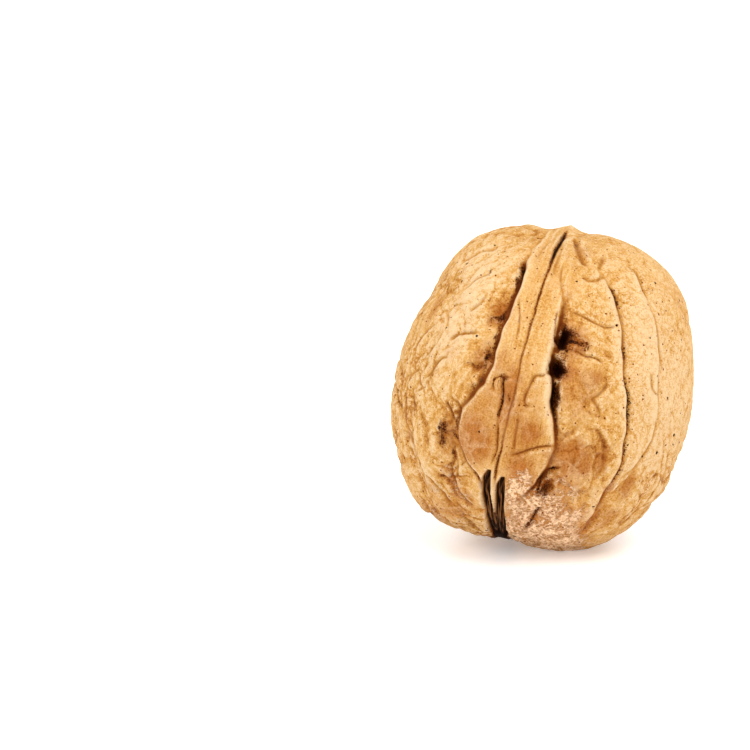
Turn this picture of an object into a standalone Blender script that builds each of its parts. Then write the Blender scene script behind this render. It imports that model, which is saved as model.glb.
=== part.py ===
# A walnut in its shell, standing on its stem end and leaning a little back and to the right.
# The shell grew as one closed piece: two valves that meet in a raised seam which runs from the
# pointed tip over the front, under the stem end and up the back.
#
# The shell is drawn on a ball of directions. A direction has a longitude, 0 on the front seam and
# growing to the right, and a latitude, 90 at the tip and -90 at the stem end. A radius is worked out
# for each direction in millimetres: the plain body first, then the relief that stands on it.

import math

import bmesh
import bpy
import numpy as np
from mathutils import Matrix, Vector, noise

MM = 0.001

# Body: the radius from the nut's middle at every 15 degrees of latitude, from stem end to tip,
# along the middle of the front seam, the right valve, the back seam and the left valve
LATITUDE_STEP = 15.0
FRONT_PROFILE = (19.2, 19.3, 19.4, 19.1, 18.7, 18.3, 18.1, 18.1, 18.3, 18.8, 19.1, 19.1, 19.2)
RIGHT_PROFILE = (19.2, 20.1, 20.5, 20.1, 19.6, 18.7, 18.6, 18.7, 19.5, 20.6, 20.9, 20.2, 19.2)
BACK_PROFILE = (19.2, 19.4, 19.6, 19.2, 18.6, 18.2, 18.0, 18.1, 18.5, 19.0, 19.2, 19.1, 19.2)
LEFT_PROFILE = (19.2, 19.8, 20.8, 20.1, 19.0, 18.2, 17.6, 17.4, 17.7, 18.9, 19.9, 19.7, 19.2)
MEAN_RADIUS = 19.2

# Tip and stem end
BEAK_HEIGHT = 1.0
BEAK_RADIUS = 1.7
SCAR_DEPTH = 1.1
SCAR_RADIUS = 2.6

# Seam: a raised band between two flank lines, split by a crack. Each line is (latitude, longitude).
# The band comes down to its foot, a latitude, and tapers off there
SEAM_HEIGHT = 0.95
SEAM_EDGE = 0.9
FRONT_CRACK = ((-90, -4), (-65, -3), (-40, -1), (-18, 0), (20, 0), (40, 1), (60, 2), (90, 2))
FRONT_LEFT_FLANK = (
    (-90, -30), (-74, -15), (-58, -9), (-46, -8), (-35, -10), (-28, -16), (-18, -19), (-10, -17),
    (0, -13), (12, -11), (28, -10), (45, -10), (66, -12), (80, -22), (90, -40),
)
FRONT_RIGHT_FLANK = (
    (-90, 6), (-60, 3), (-46, 4), (-38, 13), (-34, 17), (-25, 18), (-16, 18), (-5, 14), (8, 11),
    (22, 10), (36, 12), (55, 15), (70, 15), (80, 22), (90, 40),
)
FRONT_FOOT = -34.0
BACK_CRACK = ((-90, 3), (-50, 2), (-10, 0), (30, -1), (60, -1), (90, 0))
BACK_LEFT_FLANK = (
    (-90, -30), (-60, -14), (-35, -11), (-12, -13), (10, -15), (34, -11), (60, -13), (80, -24),
    (90, -40),
)
BACK_RIGHT_FLANK = (
    (-90, 30), (-60, 12), (-38, 14), (-15, 17), (12, 12), (40, 11), (62, 14), (80, 25), (90, 40),
)
BACK_FOOT = -52.0
FOOT_TAPER = 14.0
CRACK_DEPTH = 0.7
CRACK_WIDTH = 0.55

# Strands: below the band's foot the front seam is a groove with dry fibre strands left in it
GROOVE_LEFT = -9.5
GROOVE_RIGHT = 3.2
GROOVE_DEPTH = 0.75
GROOVE_TOP = -33.0
GROOVE_END = -76.0
GROOVE_FADE = 7.0
STRANDS = ((-6.2, 0.45, 0.5), (0.0, 0.45, 0.5))

# Long furrows from end to end of the valves: line, half width, depth, and how far the side nearer
# the front seam stands above the other
LONG_FURROWS = (
    (((-62, 62), (-54, 54), (-44, 49), (-34, 47), (-20, 47), (-7, 45), (6, 42), (20, 39), (32, 38),
      (43, 35), (56, 28)), 0.75, 0.65, 0.35),
    (((-60, 78), (-38, 70), (-20, 63), (0, 60), (18, 59), (38, 55), (60, 46)), 0.8, 0.35, 0.15),
    (((-66, 104), (-40, 96), (-12, 99), (12, 93), (36, 96), (64, 88)), 0.9, 0.5, 0.2),
    (((-60, 138), (-32, 131), (-6, 137), (22, 129), (48, 134), (68, 126)), 0.9, 0.6, 0.2),
    (((-64, -46), (-40, -42), (-18, -47), (6, -40), (28, -38), (52, -33)), 0.8, 0.3, 0.1),
    (((-66, -84), (-38, -78), (-10, -86), (18, -80), (44, -84), (66, -76)), 0.9, 0.45, 0.2),
    (((-62, -134), (-36, -128), (-8, -136), (20, -129), (46, -133), (68, -124)), 0.9, 0.55, 0.2),
)
FURROW_FADE = 10.0

# Pits and hollows beside the seam, and lobes: longitude, latitude, half width, half length, height
PITS = (
    (14.5, 24, 0.85, 1.9, -1.7),
    (14.0, 11, 1.0, 1.4, -2.2),
    (16.0, -4, 0.7, 2.6, -1.3),
    (18.5, -34, 0.8, 1.7, -1.1),
    (-11.0, 43, 0.7, 1.9, -1.1),
    (-13.0, 30, 1.3, 2.8, -0.8),
    (-14.5, 12, 1.1, 2.6, -0.7),
    (-22.0, -20, 1.0, 2.2, -0.6),
    (-4.5, -4, 0.5, 2.6, -0.5),
    (168.0, 18, 0.9, 2.2, -1.3),
    (-163.0, -8, 0.9, 2.4, -1.2),
)
LOBES = (
    (24, 40, 3.0, 2.6, 0.45),
    (26, 22, 2.4, 2.0, 0.35),
    (27, 2, 3.2, 3.4, 0.50),
    (27, -24, 2.8, 2.6, 0.45),
    (50, 24, 2.6, 5.5, 0.30),
    (54, -16, 2.4, 5.0, 0.35),
    (-28, 34, 4.0, 3.6, 0.40),
    (-30, 4, 3.6, 4.4, 0.35),
    (-34, -30, 3.8, 4.2, 0.30),
)

# Wrinkles: a warped noise folded at zero, so that rounded swellings meet in creases
WRINKLE_HEIGHT = 0.42
WRINKLE_SIZE = 4.6
FINE_WRINKLE_HEIGHT = 0.16
FINE_WRINKLE_SIZE = 2.4
WRINKLE_STRETCH = 1.7
WARP_SIZE = 9.0
WARP_REACH = 3.2
WARP_SEED = 1

# Resting pose, in degrees, and the small flat spot that the nut stands on
TURN = -9.0
LEAN_RIGHT = 10.5
LEAN_BACK = 10.0
SEAT_DEPTH = 0.75

GRID_CUTS = 29
SEAM_CROWDING = 0.25


def ramp(value, low, high):
    """0 below low, 1 above high, and a smooth rise between."""
    share = np.clip((value - low) / (high - low), 0.0, 1.0)
    return share * share * (3.0 - 2.0 * share)


def profile_radius(profile, latitude):
    """A smooth curve through a profile's radii, level at both ends."""
    radii = np.array((profile[1], *profile, profile[-2]))
    place = (latitude + 90.0) / LATITUDE_STEP
    start = np.clip(np.floor(place).astype(int), 0, len(profile) - 2)
    t = place - start
    a, b, c, d = (radii[start + k] for k in range(4))
    return 0.5 * (2 * b + (c - a) * t + (2 * a - 5 * b + 4 * c - d) * t**2 + (3 * b - a - 3 * c + d) * t**3)


def body_radius(direction, latitude):
    """The plain body: an oval section at each latitude, through the four profiles."""
    bearing = np.arctan2(direction[:, 0], -direction[:, 1])
    across = np.sin(bearing)
    along = -np.cos(bearing)
    right, left = profile_radius(RIGHT_PROFILE, latitude), profile_radius(LEFT_PROFILE, latitude)
    front, back = profile_radius(FRONT_PROFILE, latitude), profile_radius(BACK_PROFILE, latitude)
    return np.where(across > 0, right, left) * across**2 + np.where(along < 0, front, back) * along**2


def offset_from(line, longitude, latitude):
    """Millimetres to the right of a line that runs from stem end to tip."""
    latitudes, longitudes = zip(*line)
    steps = np.linspace(latitudes[0], latitudes[-1], 160)
    course = np.interp(steps, latitudes, longitudes)
    course = np.convolve(np.pad(course, 6, mode="edge"), np.ones(13) / 13, mode="valid")
    turned = longitude - np.interp(latitude, steps, course)
    turned = (turned + 180.0) % 360.0 - 180.0
    return np.radians(turned) * np.cos(np.radians(latitude)) * MEAN_RADIUS


def seam_relief(longitude, latitude, crack, left_flank, right_flank, band_foot):
    """The raised band between the flank lines, with its crack."""
    from_left = offset_from(left_flank, longitude, latitude)
    from_right = -offset_from(right_flank, longitude, latitude)
    from_crack = offset_from(crack, longitude, latitude)
    inside = np.minimum(from_left, from_right)
    near = np.abs(from_crack) < 0.5 * MEAN_RADIUS
    ends = ramp(latitude, band_foot - FOOT_TAPER, band_foot + 2) * (1.0 - 0.55 * ramp(latitude, 62, 84))
    band = SEAM_HEIGHT * ramp(inside, -SEAM_EDGE, SEAM_EDGE) * near * ends
    foot = -0.35 * np.exp(-(((inside + SEAM_EDGE) / 0.8) ** 2)) * near * ends
    split = -CRACK_DEPTH * np.exp(-((from_crack / CRACK_WIDTH) ** 2)) * ramp(latitude, -80, -60)
    return band + foot + split * (1.0 - ramp(latitude, 80, 88))


def strand_relief(longitude, latitude):
    """The groove at the stem end of the front seam, with a rib for each bundle of fibres."""
    level = np.cos(np.radians(np.minimum(latitude, GROOVE_TOP))) * MEAN_RADIUS * math.pi / 180
    fade = ramp(latitude, GROOVE_END - GROOVE_FADE, GROOVE_END)
    fade = fade * (1.0 - ramp(latitude, GROOVE_TOP - GROOVE_FADE, GROOVE_TOP))
    inside = np.minimum(longitude - GROOVE_LEFT, GROOVE_RIGHT - longitude) * level
    groove = ramp(inside, -0.4, 0.4)
    relief = -GROOVE_DEPTH * groove
    for strand_longitude, width, height in STRANDS:
        offset = (longitude - strand_longitude) * level
        relief += height * np.exp(-((offset / width) ** 2)) * groove
    return relief * fade


def furrow_relief(longitude, latitude):
    """The long furrows. Each fades out towards its ends."""
    relief = np.zeros_like(latitude)
    for line, width, depth, step in LONG_FURROWS:
        offset = offset_from(line, longitude, latitude)
        seamward = -np.sign(line[0][1]) * offset
        fade = ramp(latitude, line[0][0] - FURROW_FADE, line[0][0] + FURROW_FADE)
        fade = fade * (1.0 - ramp(latitude, line[-1][0] - FURROW_FADE, line[-1][0] + FURROW_FADE))
        cut = -depth * np.exp(-((offset / width) ** 2))
        shelf = step * np.tanh(seamward / width) * np.exp(-np.abs(offset) / (5 * width))
        relief += fade * (cut + shelf)
    return relief


def spot_relief(longitude, latitude, spots, squareness):
    """Pits or lobes. A higher squareness gives steeper sides and a flatter middle."""
    relief = np.zeros_like(latitude)
    for spot_longitude, spot_latitude, width, length, height in spots:
        turned = (longitude - spot_longitude + 180.0) % 360.0 - 180.0
        across = np.radians(turned) * np.cos(np.radians(spot_latitude)) * MEAN_RADIUS
        along = np.radians(latitude - spot_latitude) * MEAN_RADIUS
        reach = (across / width) ** 2 + (along / length) ** 2
        relief += height * np.exp(-(reach**squareness))
    return relief


def folded_noise(points, size):
    """Noise folded at zero: rounded swellings between creases, 0 in a crease and up to about 1."""
    grain = Vector((1.0 / size, 1.0 / size, 1.0 / (size * WRINKLE_STRETCH)))
    return np.array([min(1.0, 1.8 * abs(noise.noise(p * grain))) for p in points])


def wrinkle_relief(direction):
    """The net of swellings and creases over both valves."""
    # Blender draws its noise vectors by the clock unless it is given a seed
    noise.seed_set(WARP_SEED)
    points = []
    for x, y, z in direction * MEAN_RADIUS:
        point = Vector((x, y, z))
        points.append(point + WARP_REACH * noise.noise_vector(point / WARP_SIZE))
    coarse = folded_noise(points, WRINKLE_SIZE) ** 0.7 - 0.5
    fine = folded_noise(points, FINE_WRINKLE_SIZE) ** 0.7 - 0.5
    return WRINKLE_HEIGHT * coarse + FINE_WRINKLE_HEIGHT * fine


def on_seam_band(longitude, latitude):
    """1 on the two raised bands of the seam and 0 on the valves."""
    share = np.zeros_like(latitude)
    for turn, left_flank, right_flank in (
        (0.0, FRONT_LEFT_FLANK, FRONT_RIGHT_FLANK),
        (180.0, BACK_LEFT_FLANK, BACK_RIGHT_FLANK),
    ):
        from_left = offset_from(left_flank, longitude - turn, latitude)
        from_right = -offset_from(right_flank, longitude - turn, latitude)
        share = np.maximum(share, ramp(np.minimum(from_left, from_right), -1.0, 0.6))
    return share


def shell_radius(direction):
    """The shell's radius in millimetres for each unit direction."""
    latitude = np.degrees(np.arcsin(np.clip(direction[:, 2], -1.0, 1.0)))
    longitude = np.degrees(np.arctan2(direction[:, 0], -direction[:, 1]))
    from_axis = np.radians(90.0 - np.abs(latitude)) * MEAN_RADIUS
    beak = BEAK_HEIGHT * np.exp(-((from_axis / BEAK_RADIUS) ** 2)) * (latitude > 0)
    scar = -SCAR_DEPTH * np.exp(-((from_axis / SCAR_RADIUS) ** 2)) * (latitude < 0)
    valves = 1.0 - 0.75 * on_seam_band(longitude, latitude)
    return (
        body_radius(direction, latitude)
        + beak
        + scar
        + seam_relief(longitude, latitude, FRONT_CRACK, FRONT_LEFT_FLANK, FRONT_RIGHT_FLANK, FRONT_FOOT)
        + seam_relief(longitude - 180.0, latitude, BACK_CRACK, BACK_LEFT_FLANK, BACK_RIGHT_FLANK, BACK_FOOT)
        + strand_relief(longitude, latitude)
        + furrow_relief(longitude, latitude)
        + spot_relief(longitude, latitude, PITS, 1.6)
        + spot_relief(longitude, latitude, LOBES, 1.0)
        + wrinkle_relief(direction) * valves
    )


def grid_ball():
    """A cube cut into a grid and blown up to a unit ball, with its grid lines crowded to the seam."""
    bm = bmesh.new()
    bmesh.ops.create_cube(bm, size=2.0)
    bmesh.ops.subdivide_edges(bm, edges=bm.edges, cuts=GRID_CUTS, use_grid_fill=True)
    for vert in bm.verts:
        x, y, z = vert.co
        x = x * (1.0 - SEAM_CROWDING + SEAM_CROWDING * x * x)
        vert.co = Vector([math.tan(side * math.pi / 4) for side in (x, y, z)]).normalized()
    return bm


def make_shell():
    bm = grid_ball()
    direction = np.array([vert.co for vert in bm.verts])
    pose = (
        Matrix.Rotation(math.radians(-LEAN_BACK), 3, "X")
        @ Matrix.Rotation(math.radians(LEAN_RIGHT), 3, "Y")
        @ Matrix.Rotation(math.radians(TURN), 3, "Z")
    )
    standing = direction * shell_radius(direction)[:, None] * MM @ np.array(pose).T

    # Flatten the lowest stretch into the seat, and put the origin on it, under the middle of the nut
    seat = standing[:, 2].min() + SEAT_DEPTH * MM
    standing[:, 2] = np.maximum(standing[:, 2], seat)
    middle = (standing.min(axis=0) + standing.max(axis=0)) / 2
    standing -= (middle[0], middle[1], seat)
    for vert, place in zip(bm.verts, standing):
        vert.co = place

    mesh = bpy.data.meshes.new("walnut_shell")
    bm.to_mesh(mesh)
    bm.free()
    mesh.shade_smooth()
    return bpy.data.objects.new("walnut_shell", mesh)


def shell_material():
    material = bpy.data.materials.new("walnut_shell")
    material.use_nodes = True
    surface = material.node_tree.nodes["Principled BSDF"]
    surface.inputs["Base Color"].default_value = (0.67, 0.40, 0.17, 1.0)
    surface.inputs["Roughness"].default_value = 0.58
    surface.inputs["Metallic"].default_value = 0.0
    return material


def main():
    for old in list(bpy.data.objects):
        bpy.data.objects.remove(old)
    collection = bpy.data.collections.new("walnut")
    bpy.context.scene.collection.children.link(collection)
    shell = make_shell()
    shell.data.materials.append(shell_material())
    collection.objects.link(shell)


main()
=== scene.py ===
# Walnut in its shell on a pale studio floor.
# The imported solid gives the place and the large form. This script puts a finer shell over it, drawn
# the same way: a radius in millimetres for each direction from the nut's middle. Longitude is 0 on the
# front seam and grows to the right, latitude is 90 at the tip and -90 at the stem end.

import math
import time

import bmesh
import bpy
import numpy as np
from mathutils import Matrix, Vector, noise


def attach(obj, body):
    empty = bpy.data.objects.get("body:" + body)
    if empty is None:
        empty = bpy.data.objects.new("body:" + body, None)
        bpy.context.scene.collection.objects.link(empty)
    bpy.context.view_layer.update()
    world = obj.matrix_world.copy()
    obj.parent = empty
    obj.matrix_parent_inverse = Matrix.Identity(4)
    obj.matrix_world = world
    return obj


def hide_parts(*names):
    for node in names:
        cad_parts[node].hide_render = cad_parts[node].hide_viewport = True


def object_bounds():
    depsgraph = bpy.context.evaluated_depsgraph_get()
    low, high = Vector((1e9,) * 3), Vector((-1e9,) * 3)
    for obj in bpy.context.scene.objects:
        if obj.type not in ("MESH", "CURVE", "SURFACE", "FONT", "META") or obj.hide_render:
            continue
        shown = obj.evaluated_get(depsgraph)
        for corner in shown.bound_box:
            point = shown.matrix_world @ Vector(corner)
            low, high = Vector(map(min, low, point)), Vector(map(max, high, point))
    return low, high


startTime = time.time()
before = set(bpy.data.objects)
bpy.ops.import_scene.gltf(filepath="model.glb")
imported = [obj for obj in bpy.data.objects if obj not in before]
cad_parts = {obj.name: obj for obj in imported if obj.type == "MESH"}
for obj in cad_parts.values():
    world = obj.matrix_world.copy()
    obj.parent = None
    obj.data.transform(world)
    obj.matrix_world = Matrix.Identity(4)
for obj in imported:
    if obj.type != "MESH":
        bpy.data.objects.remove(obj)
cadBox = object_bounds()

mm = 0.001
# distances along the shell are measured on a ball of this radius, in millimetres
meanRadius = 19.2


def report(words):
    print(f"[walnut] {words} ({time.time() - startTime:.1f} s)")


def ramp(value, low, high):
    # 0 below low, 1 above high, with soft ends
    share = np.clip((value - low) / (high - low), 0.0, 1.0)
    return share * share * (3.0 - 2.0 * share)


def alongMm(latitude):
    return np.radians(latitude) * meanRadius


def acrossMm(degrees, latitude):
    return np.radians(degrees) * np.cos(np.radians(latitude)) * meanRadius


def curveThrough(a, b, c, d, t):
    # a smooth curve from b to c that heads for its neighbours a and d
    return 2 * b + (c - a) * t + (2 * a - 5 * b + 4 * c - d) * t**2 + (3 * b - a - 3 * c + d) * t**3


def alongLine(pairs, latitude):
    # what a line of (latitude, value) pairs has at each latitude
    latitudes, values = zip(*pairs)
    return np.interp(latitude, latitudes, values)


def offsetFrom(line, longitude, latitude):
    # millimetres to the right of a line of (latitude, longitude) points from stem end to tip
    steps = np.linspace(-90, 90, 361)
    course = alongLine([point[:2] for point in line], steps)
    course = np.convolve(np.pad(course, 6, mode="edge"), np.ones(13) / 13, mode="valid")
    turned = longitude - np.interp(latitude, steps, course)
    return acrossMm((turned + 180.0) % 360.0 - 180.0, latitude)


# The plain body: radii every 15 degrees of latitude from stem end to tip, along four lines
body = {
    "latitudeStep": 15.0,
    "front": (19.2, 19.3, 19.4, 19.1, 18.7, 18.3, 18.1, 18.1, 18.3, 18.8, 19.1, 19.1, 19.2),
    "right": (19.2, 20.1, 20.5, 20.1, 19.6, 18.7, 18.6, 18.7, 19.5, 20.6, 20.9, 20.2, 19.2),
    "back": (19.2, 19.4, 19.6, 19.2, 18.6, 18.2, 18.0, 18.1, 18.5, 19.0, 19.2, 19.1, 19.2),
    "left": (19.2, 19.85, 20.6, 19.55, 18.4, 17.8, 17.25, 17.05, 17.15, 18.6, 19.8, 19.7, 19.2),
    "beakHeight": 0.9, "beakRadius": 1.3, "beakPoint": 1.3,
    "scarDepth": 1.1, "scarRadius": 2.6,
}


def profileRadius(profile, latitude):
    radii = np.array((profile[1], *profile, profile[-2]))
    place = (latitude + 90.0) / body["latitudeStep"]
    start = np.clip(np.floor(place).astype(int), 0, len(profile) - 2)
    t = place - start
    return 0.5 * curveThrough(*(radii[start + k] for k in range(4)), t)


def bodyRadius(direction, latitude):
    bearing = np.arctan2(direction[:, 0], -direction[:, 1])
    across, along = np.sin(bearing), -np.cos(bearing)
    front, right, back, left = (
        profileRadius(body[name], latitude) for name in ("front", "right", "back", "left"))
    valve = np.where(across > 0, right, left)
    face = np.where(along < 0, front, back)
    fromAxis = alongMm(90.0 - np.abs(latitude))
    beak = body["beakHeight"] * np.exp(-((fromAxis / body["beakRadius"]) ** body["beakPoint"]))
    scar = body["scarDepth"] * np.exp(-((fromAxis / body["scarRadius"]) ** 2))
    return valve * across**2 + face * along**2 + beak * (latitude > 0) - scar * (latitude < 0)


# The seam: a raised band between two flank lines, with a crack along its middle and slots under its
# edges, dark with painted shade. The dark shares set how deep the crack and slots are cut and how much
# painted shade they hold. Lines are (latitude, longitude), the rest (latitude, share from 0 to 1)
seam = {
    "height": 0.85, "edge": 0.34,
    "slotDepth": 0.85, "slotOut": 0.4, "slotWidth": 0.14, "darkSlotWider": 0.2,
    "crackDepth": 0.5, "crackWidth": 0.09, "darkCrackWider": 0.13,
    "front": {
        "crack": (
            (-90, -4), (-45, -2), (-29, -1.5), (-21, -0.4), (-9, 0.4), (-3, 0.9), (12, 0.8), (30, 1.4),
            (49, 2), (69, 3), (90, 3),
        ),
        "crackDark": (
            (-40, 0), (-34, 0.5), (-28, 0.7), (-23, 0.5), (-17, 0.3), (0, 0.4), (20, 0.45), (36, 0.55),
            (44, 0.5), (50, 0.65), (56, 0.9), (62, 1), (72, 1), (78, 0.7), (84, 0),
        ),
        "left": (
            (-90, -30), (-74, -15), (-58, -9), (-46, -8), (-37, -8), (-33, -12), (-28, -16), (-22, -18),
            (-15, -19), (-11, -17.8), (-7.5, -14.4), (-2.3, -11.6), (2.7, -10.3), (7.7, -9.3),
            (16, -9.4), (22, -9.3), (28, -8.6), (40, -8.4), (50, -10.4), (58, -12), (70, -14),
            (80, -22), (90, -40),
        ),
        "leftDark": (
            (-42, 0), (-37, 0.5), (-30, 0.3), (-23, 0.2), (-15, 0.4), (-8, 0.3), (-2, 0.45), (4, 0.4),
            (9, 0.5), (14, 0.6), (20, 0.5), (27, 0.5), (34, 0.55), (39, 0.65), (43, 0.8), (47, 0.95),
            (49, 0.6), (51, 0),
        ),
        "leftRise": ((-46, 0), (-36, 0.5), (-30, 0.8), (-22, 1), (46, 1), (60, 0.6), (75, 0.35), (90, 0.2)),
        "right": (
            (-90, 6), (-60, 3), (-46, 4), (-39, 12), (-33, 16), (-26, 18), (-17, 19), (-13, 17.4),
            (-9, 15.6), (-5, 14.2), (3, 13), (11, 11), (22, 11), (30, 12), (40, 13), (55, 14), (70, 15),
            (80, 22), (90, 40),
        ),
        "rightDark": (
            (-44, 0), (-38, 0.4), (-33, 0.75), (-28, 0.4), (-21, 0.35), (-15, 0.5), (-10, 0.6),
            (-7, 0.8), (-3, 0.9), (3, 0.9), (8, 0.7), (14, 0.5), (17, 0.35), (23, 0.6), (29, 0.45),
            (32, 0.3), (35, 0.1), (40, 0),
        ),
        "rightRise": (
            (-50, 0), (-40, 0.3), (-30, 0.45), (-18, 0.5), (-8, 0.85), (24, 1), (32, 0.75), (40, 0.3),
            (60, 0.15), (90, 0.2),
        ),
    },
    "back": {
        "crack": ((-90, 3), (-50, 2), (-10, 0), (30, -1), (60, -1), (90, 0)),
        "crackDark": (
            (-80, 0.8), (-60, 0.7), (-45, 0.45), (-10, 0.4), (25, 0.35), (50, 0.6), (70, 0.9), (84, 0),
        ),
        "left": (
            (-90, -30), (-60, -14), (-35, -11), (-12, -13), (10, -15), (34, -11), (60, -13), (80, -24),
            (90, -40),
        ),
        "leftDark": (
            (-60, 0), (-48, 0.6), (-36, 0.4), (-20, 0.55), (-8, 0.9), (2, 0.6), (16, 0.4), (28, 0.7),
            (38, 0.9), (48, 0.4), (56, 0),
        ),
        "leftRise": ((-66, 0), (-50, 0.8), (-30, 1), (40, 1), (60, 0.6), (90, 0.2)),
        "right": (
            (-90, 30), (-60, 12), (-38, 14), (-15, 17), (12, 12), (40, 11), (62, 14), (80, 25),
            (90, 40),
        ),
        "rightDark": (
            (-60, 0), (-46, 0.4), (-34, 0.8), (-22, 0.5), (-6, 0.4), (8, 0.8), (20, 1), (30, 0.5),
            (44, 0.3), (54, 0),
        ),
        "rightRise": ((-66, 0), (-50, 0.7), (-30, 1), (30, 1), (60, 0.5), (90, 0.2)),
    },
}


def seamRelief(side, longitude, latitude, wobble):
    fromLeft = offsetFrom(side["left"], longitude, latitude) + wobble
    fromRight = -offsetFrom(side["right"], longitude, latitude) + wobble
    fromCrack = offsetFrom(side["crack"], longitude, latitude) + 0.4 * wobble
    inside = np.minimum(fromLeft, fromRight)
    near = np.abs(fromCrack) < 0.5 * meanRadius
    share = np.clip(fromLeft / np.maximum(fromLeft + fromRight, 0.1), 0, 1)
    leftRise, rightRise, leftDark, rightDark, crackDark = (
        alongLine(side[name], latitude)
        for name in ("leftRise", "rightRise", "leftDark", "rightDark", "crackDark"))
    rise = leftRise * (1 - share) + rightRise * share
    within = ramp(inside, -seam["edge"], seam["edge"]) * near
    fromSlot = inside + seam["slotOut"]
    slotDark = np.where(fromLeft < fromRight, leftDark, rightDark)
    slotWidth = seam["slotWidth"] + seam["darkSlotWider"] * slotDark
    slot = seam["slotDepth"] * slotDark**2 * np.exp(-((fromSlot / (slotWidth + 0.1)) ** 2)) * near
    crackDark = crackDark * near
    crackWidth = seam["crackWidth"] + seam["darkCrackWider"] * crackDark**2
    split = seam["crackDepth"] * crackDark**2 * np.exp(-((fromCrack / (crackWidth + 0.06)) ** 2))
    return {
        "relief": seam["height"] * rise * within - slot - split,
        "within": within * ramp(rise, 0.05, 0.3),
        "slotLine": (fromSlot, slotDark * near, slotWidth),
        "crackLine": (fromCrack, crackDark, crackWidth),
    }


# Long furrows from end to end of the valves. The side nearer the front seam stands above the other
furrows = {
    "fade": 8.0,
    "shelfReach": 3.5,
    # half width, depth, shelf, and points (latitude, longitude, share of the depth, which also sets how
    # dark the painted shade and brown staining along the furrow are)
    "lines": (
        (0.2, 0.38, 0.26, (
            (-58, 60, 0), (-53, 55, 0.3), (-46, 50, 0.3), (-36, 47, 0.35), (-28, 47, 0.45),
            (-24, 48, 0.65), (-20, 48, 0.4), (-16, 47, 0.6), (-11, 46, 0.45), (-7, 46, 0.6),
            (-2, 44, 0.85), (3, 44, 1), (8, 42, 0.8), (12, 40, 0.35), (17, 40, 0.4), (20, 39, 0.75),
            (23, 39, 0.4), (30, 39, 0.3), (35, 37, 0.3), (39, 36, 0.85), (42, 35, 0.75), (45, 33, 0.25),
            (50, 29, 0.2), (56, 24, 0))),
        (0.2, 0.16, 0.2, (
            (-54, 48, 0), (-35, 50, 0.1), (-22, 55, 0.05), (-10, 60, 0.2), (0, 60, 0.05),
            (10, 57, 0.25), (20, 58, 0.1), (30, 57, 0.2), (40, 53, 0.05), (52, 52, 0.1), (62, 44, 0))),
        (0.2, 0.45, 0.25, (
            (-66, 104, 0), (-40, 96, 0.4), (-12, 99, 0.8), (12, 93, 0.2), (36, 96, 0.5), (64, 88, 0))),
        (0.2, 0.5, 0.25, (
            (-60, 138, 0), (-32, 131, 0.7), (-6, 137, 0.3), (22, 129, 0.8), (48, 134, 0.4), (68, 126, 0))),
        (0.5, 0.2, 0.1, (
            (-64, -46, 0), (-40, -42, 0.1), (-18, -47, 0), (6, -40, 0.05), (28, -38, 0), (52, -33, 0))),
        (0.2, 0.45, 0.2, (
            (-66, -84, 0), (-38, -78, 0.6), (-10, -86, 0.2), (18, -80, 0.5), (44, -84, 0.3), (66, -76, 0))),
        (0.2, 0.5, 0.25, (
            (-62, -134, 0), (-36, -128, 0.4), (-8, -136, 0.8), (20, -129, 0.3), (46, -133, 0.6),
            (68, -124, 0))),
    ),
}


def furrowRelief(longitude, latitude, wobble):
    relief = np.zeros_like(latitude)
    nearest = (np.full_like(latitude, 9.0), np.zeros_like(latitude), np.full_like(latitude, 0.3))
    for width, depth, shelf, line in furrows["lines"]:
        offset = offsetFrom(line, longitude, latitude) + wobble
        dark = alongLine([(point[0], point[2]) for point in line], latitude)
        seamward = -np.sign(line[0][1]) * offset
        fade = ramp(latitude, line[0][0], line[0][0] + 2 * furrows["fade"])
        fade = fade * (1.0 - ramp(latitude, line[-1][0] - 2 * furrows["fade"], line[-1][0]))
        cut = depth * (0.35 + 0.65 * dark) * np.exp(-((offset / (width + 0.1)) ** 2))
        step = shelf * np.tanh(seamward / 0.4) * np.exp(-np.abs(offset) / furrows["shelfReach"])
        relief += fade * (step - cut)
        closer = np.abs(offset) < np.abs(nearest[0])
        found = (offset, dark * fade, width * (0.4 + 1.1 * dark))
        nearest = tuple(np.where(closer, new, old) for new, old in zip(found, nearest))
    return relief, nearest
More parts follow.
